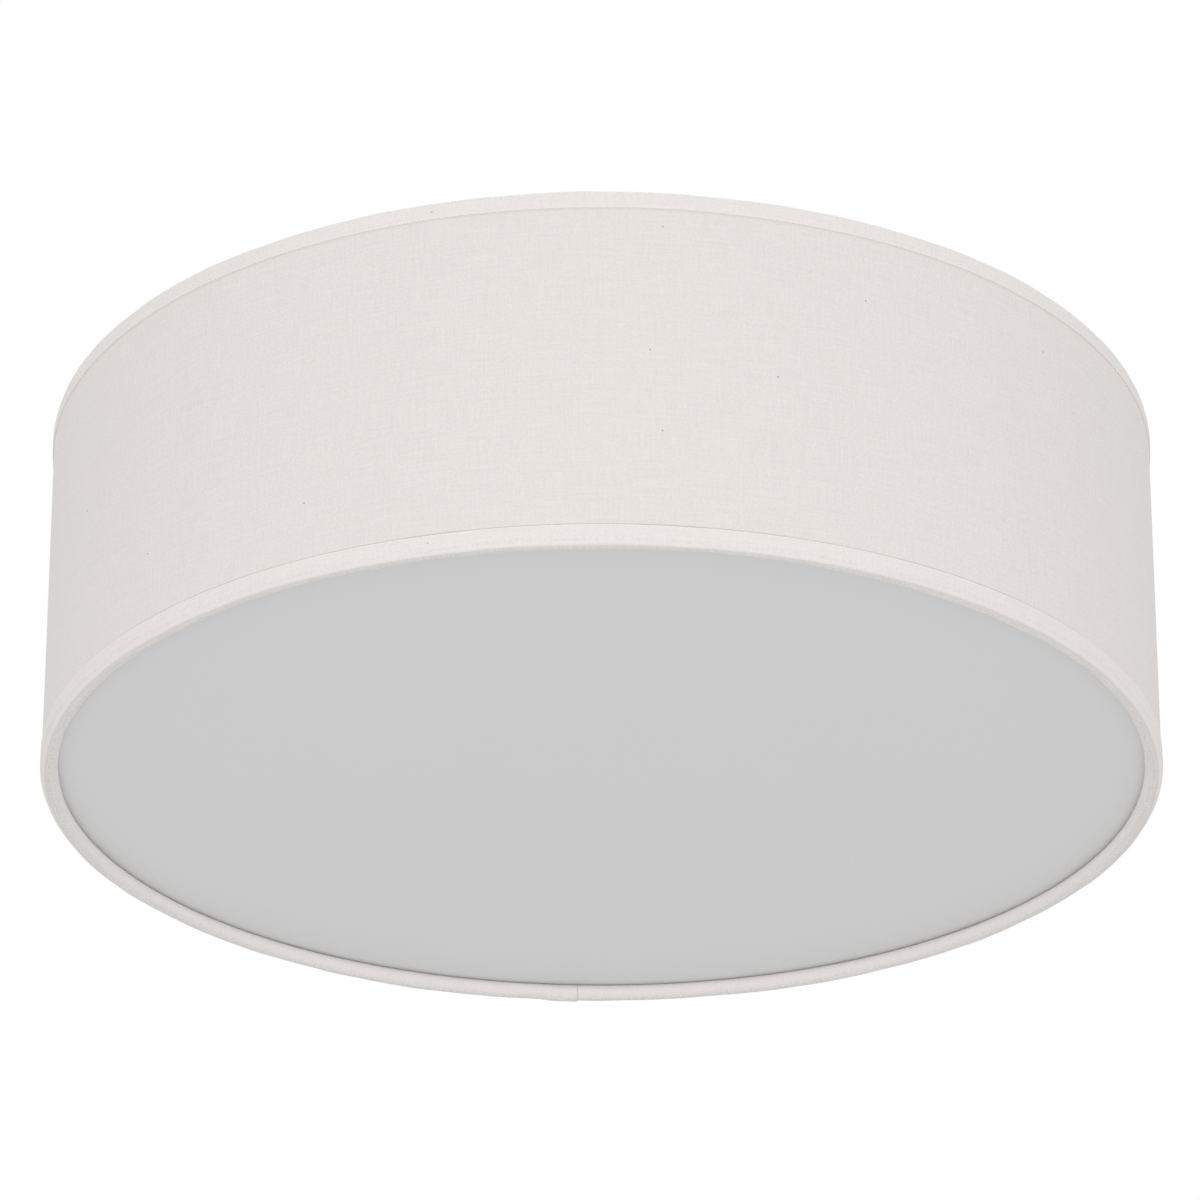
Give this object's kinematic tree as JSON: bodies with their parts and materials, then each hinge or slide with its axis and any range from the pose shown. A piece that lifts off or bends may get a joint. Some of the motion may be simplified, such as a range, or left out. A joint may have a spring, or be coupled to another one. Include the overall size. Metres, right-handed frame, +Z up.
{
  "type": "flush mount ceiling light",
  "caption": "Low cloth-covered drum ceiling light with folded tape rims and a recessed opal plate, hung on knurled nuts from a ceiling frame with bulbs.",
  "frame": {"origin": "the middle of the ceiling screw pattern, on the ceiling's face", "axes": "+Z up into the ceiling, +X along the ceiling bracket, -Y towards the viewer, with the shade's seam at +Y"},
  "size_m": [0.4499, 0.45, 0.152],
  "materials": {
    "cover_cloth": "fine plain-weave cotton, laminated",
    "trim_tape": "the same cloth as folded tape",
    "liner_film": "stiff white shade film",
    "opal_acrylic": "opal acrylic sheet, satin",
    "white_enamel": "white powder coat on steel",
    "zinc_steel": "zinc-plated steel",
    "nickel_brass": "nickel-plated, turned",
    "brass": "bare brass",
    "nickel_cap": "rolled nickel-plated sheet",
    "holder_plastic": "moulded heat-resistant resin",
    "steatite": "unglazed pressed ceramic",
    "block_plastic": "moulded polyamide",
    "brown_wire": "wire insulation",
    "blue_wire": "wire insulation",
    "earth_wire_skin": "wire insulation, green with a yellow stripe",
    "black_rubber": "moulded rubber",
    "bulb_white": "moulded white housing",
    "frosted_globe": "frosted opal dome",
    "contact_metal": "contact set in a black insulator"
  },
  "bodies": {
    "ceiling_frame": {"ceiling_bracket": "zinc_steel", "pan_studs": "zinc_steel", "base_pan": "white_enamel", "cap_nuts": "nickel_brass", "cap_washers": "zinc_steel", "arm_rivets": "zinc_steel", "hanger_studs": "zinc_steel", "angle_rivets": "zinc_steel", "holder_nipples": "zinc_steel", "holder_locknuts": "zinc_steel", "lampholder_inserts": "steatite", "screw_sleeves": "brass", "centre_tongues": "brass", "terminal_block": "block_plastic", "terminal_clamps": "brass", "terminal_screws": "zinc_steel", "crimp_ferrules": "nickel_cap", "live_wires": "brown_wire", "neutral_wires": "blue_wire", "earth_wire": "earth_wire_skin", "earth_screw": "brass", "wire_grommet": "black_rubber", "support_arm_1": "white_enamel", "angle_bracket_1": "white_enamel", "lampholder_cap_1": "holder_plastic", "lampholder_skirt_1": "holder_plastic", "support_arm_2": "white_enamel", "angle_bracket_2": "white_enamel", "lampholder_cap_2": "holder_plastic", "lampholder_skirt_2": "holder_plastic", "support_arm_3": "white_enamel", "angle_bracket_3": "white_enamel", "lampholder_cap_3": "holder_plastic", "lampholder_skirt_3": "holder_plastic"},
    "shade": {"upper_ring": "white_enamel", "lower_ring": "white_enamel", "hanging_tabs": "white_enamel", "shade_liner": "liner_film", "shade_fabric": "cover_cloth", "top_trim": "trim_tape", "bottom_trim": "trim_tape"},
    "diffuser": {"diffuser": "opal_acrylic"},
    "bulb_base_1": {"bulb_contact_1": "contact_metal"},
    "bulb_1": {"bulb_screw_cap_1": "nickel_cap", "bulb_housing_1": "bulb_white", "bulb_globe_1": "frosted_globe"},
    "nut_washer_1": {"hanger_washer_1": "zinc_steel"},
    "nut_1": {"thumb_nut_1": "nickel_brass"},
    "bulb_base_2": {"bulb_contact_2": "contact_metal"},
    "bulb_2": {"bulb_screw_cap_2": "nickel_cap", "bulb_housing_2": "bulb_white", "bulb_globe_2": "frosted_globe"},
    "nut_washer_2": {"hanger_washer_2": "zinc_steel"},
    "nut_2": {"thumb_nut_2": "nickel_brass"},
    "bulb_base_3": {"bulb_contact_3": "contact_metal"},
    "bulb_3": {"bulb_screw_cap_3": "nickel_cap", "bulb_housing_3": "bulb_white", "bulb_globe_3": "frosted_globe"},
    "nut_washer_3": {"hanger_washer_3": "zinc_steel"},
    "nut_3": {"thumb_nut_3": "nickel_brass"}
  },
  "joints": [
    {"name": "shade_drop", "type": "slide", "parent": "ceiling_frame", "child": "shade", "axis": [0, 0, -1], "range_m": [0, 0.17]},
    {"name": "diffuser_lift", "type": "slide", "parent": "shade", "child": "diffuser", "axis": [0, 0, 1], "range_m": [0, 0.045]},
    {"name": "bulb_travel_1", "type": "slide", "parent": "ceiling_frame", "child": "bulb_base_1", "axis": [0, 1, 0], "range_m": [0, 0.01452]},
    {"name": "bulb_turn_1", "type": "hinge", "parent": "bulb_base_1", "child": "bulb_1", "pos_m": [0, 0.1, -0.062], "axis": [0, 1, 0], "range_deg": [0, 1440]},
    {"name": "bulb_travel_2", "type": "slide", "parent": "ceiling_frame", "child": "bulb_base_2", "axis": [-0.866, -0.5, 0], "range_m": [0, 0.01452]},
    {"name": "bulb_turn_2", "type": "hinge", "parent": "bulb_base_2", "child": "bulb_2", "pos_m": [-0.0866, -0.05, -0.062], "axis": [-0.866, -0.5, 0], "range_deg": [0, 1440]},
    {"name": "bulb_travel_3", "type": "slide", "parent": "ceiling_frame", "child": "bulb_base_3", "axis": [0.866, -0.5, 0], "range_m": [0, 0.01452]},
    {"name": "bulb_turn_3", "type": "hinge", "parent": "bulb_base_3", "child": "bulb_3", "pos_m": [0.0866, -0.05, -0.062], "axis": [0.866, -0.5, 0], "range_deg": [0, 1440]},
    {"name": "nut_travel_1", "type": "slide", "parent": "shade", "child": "nut_washer_1", "axis": [0, 0, -1], "range_m": [0, 0.01]},
    {"name": "nut_turn_1", "type": "hinge", "parent": "nut_washer_1", "child": "nut_1", "pos_m": [0.17667, 0.102, -0.0142], "axis": [0, 0, -1], "range_deg": [0, 4500]},
    {"name": "nut_travel_2", "type": "slide", "parent": "shade", "child": "nut_washer_2", "axis": [0, 0, -1], "range_m": [0, 0.01]},
    {"name": "nut_turn_2", "type": "hinge", "parent": "nut_washer_2", "child": "nut_2", "pos_m": [-0.17667, 0.102, -0.0142], "axis": [0, 0, -1], "range_deg": [0, 4500]},
    {"name": "nut_travel_3", "type": "slide", "parent": "shade", "child": "nut_washer_3", "axis": [0, 0, -1], "range_m": [0, 0.01]},
    {"name": "nut_turn_3", "type": "hinge", "parent": "nut_washer_3", "child": "nut_3", "pos_m": [0, -0.204, -0.0142], "axis": [0, 0, -1], "range_deg": [0, 4500]}
  ],
  "couplings": [
    {"joint": "bulb_turn_1", "follows": "bulb_travel_1", "rad_per_m": 1730.9},
    {"joint": "bulb_turn_2", "follows": "bulb_travel_2", "rad_per_m": 1730.9},
    {"joint": "bulb_turn_3", "follows": "bulb_travel_3", "rad_per_m": 1730.9},
    {"joint": "nut_turn_1", "follows": "nut_travel_1", "rad_per_m": 7854},
    {"joint": "nut_turn_2", "follows": "nut_travel_2", "rad_per_m": 7854},
    {"joint": "nut_turn_3", "follows": "nut_travel_3", "rad_per_m": 7854}
  ]
}
